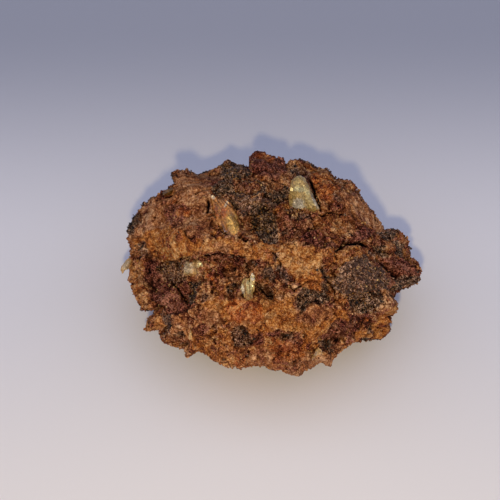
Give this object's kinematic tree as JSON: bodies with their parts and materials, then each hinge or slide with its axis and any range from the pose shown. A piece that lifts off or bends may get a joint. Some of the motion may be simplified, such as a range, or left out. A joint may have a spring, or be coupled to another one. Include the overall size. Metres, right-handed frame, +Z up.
{
  "type": "adamite crystal specimen on limonite matrix",
  "caption": "Loose lump of pitted brown limonite with glassy yellow-green adamite crystals and a fanned sheaf of blades set in its hollows.",
  "frame": {"origin": "middle of the specimen's bounding box in plan, on the surface that it rests on", "axes": "+X to the right along the longest extent, +Y to the back, +Z up; the broad face with the crystals looks up and towards -Y"},
  "size_m": [0.0512, 0.0408, 0.0322],
  "materials": {
    "limonite": "matt, earthy and pitted",
    "adamite_olive": "glassy, striated",
    "adamite_ochre": "glassy, bladed",
    "adamite_tan": "glassy, cloudy"
  },
  "bodies": {
    "root": {"limonite_matrix": "limonite", "adamite_wedge_crystal": "adamite_olive", "adamite_sheaf": "adamite_ochre", "adamite_left_crystal": "adamite_tan", "adamite_centre_crystal": "adamite_olive", "adamite_edge_crystal": "adamite_tan", "adamite_lower_crystal": "adamite_tan", "adamite_rim_crystal": "adamite_olive", "adamite_sliver": "adamite_tan"}
  },
  "joints": []
}
